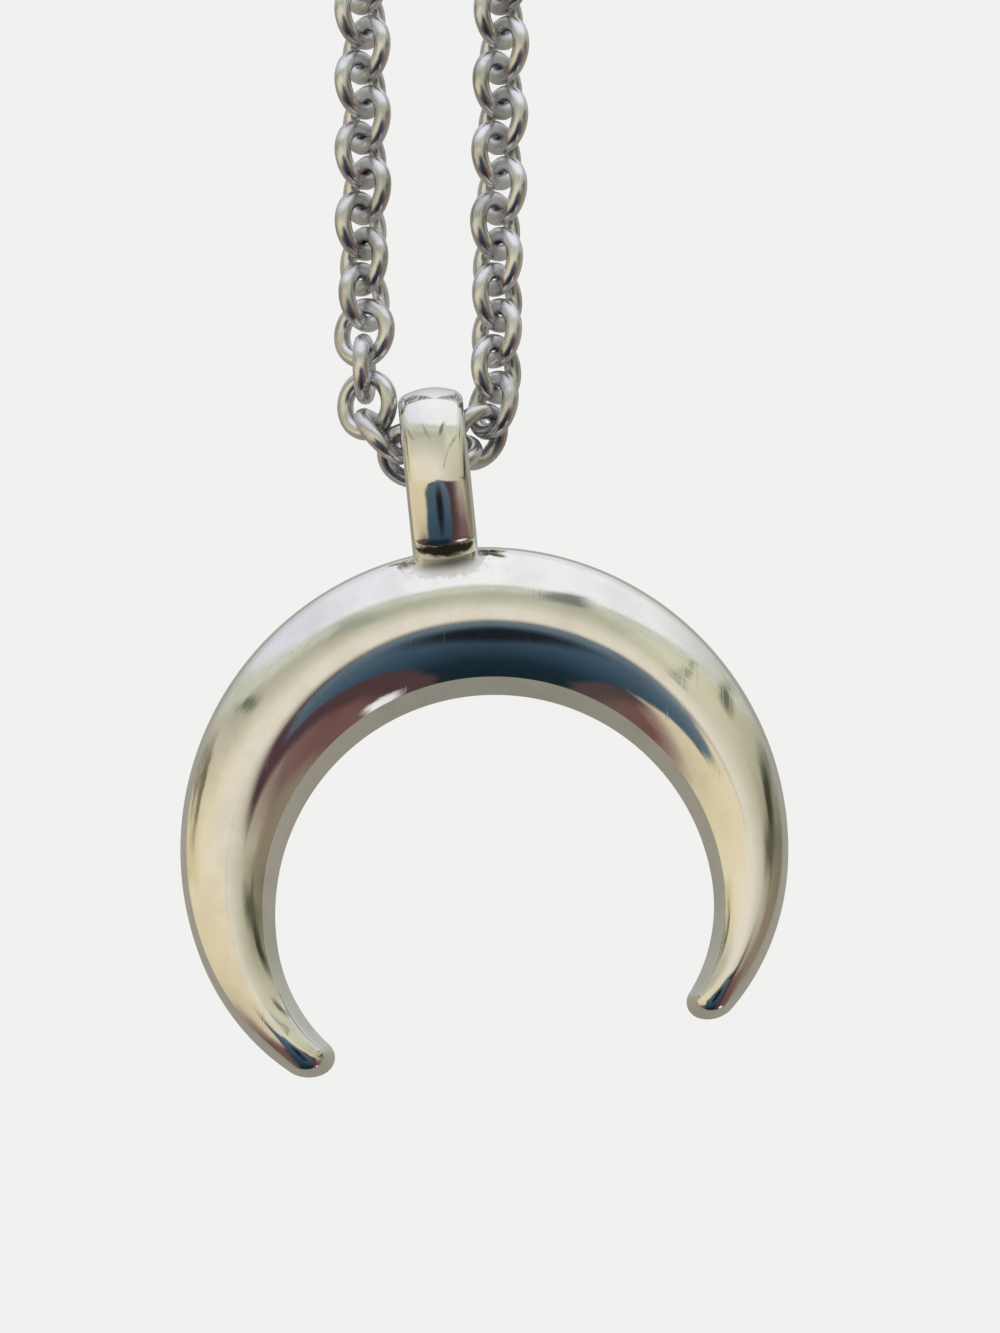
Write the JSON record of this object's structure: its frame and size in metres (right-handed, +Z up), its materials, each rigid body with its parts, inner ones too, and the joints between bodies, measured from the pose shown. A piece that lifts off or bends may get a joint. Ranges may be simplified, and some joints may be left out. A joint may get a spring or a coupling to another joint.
{
  "type": "crescent moon pendant necklace",
  "caption": "Domed crescent moon pendant with a strap bail, hanging free on a closed necklace of round interlocking links with a clasp.",
  "frame": {"origin": "crest of the peg or finger that the top of the closed necklace hangs on", "axes": "+Z up, the domed front of the moon faces -Y, +X is the viewer's right"},
  "size_m": [0.03, 0.006, 0.2535],
  "materials": {
    "polished_steel": "mirror polish with fine wear",
    "link_steel": "tumbled polish"
  },
  "bodies": {
    "necklace": {"chain_left": "link_steel", "chain_right": "link_steel", "clasp_ring": "link_steel", "clasp": "link_steel", "end_ring": "link_steel"},
    "moon": {"pendant": "polished_steel"}
  },
  "joints": [
    {"name": "pendant_swing", "type": "hinge", "parent": "necklace", "child": "moon", "pos_m": [0.00034, 0, -0.21993], "axis": [0.9961, 0, 0.088], "range_deg": [-140, 140]}
  ]
}
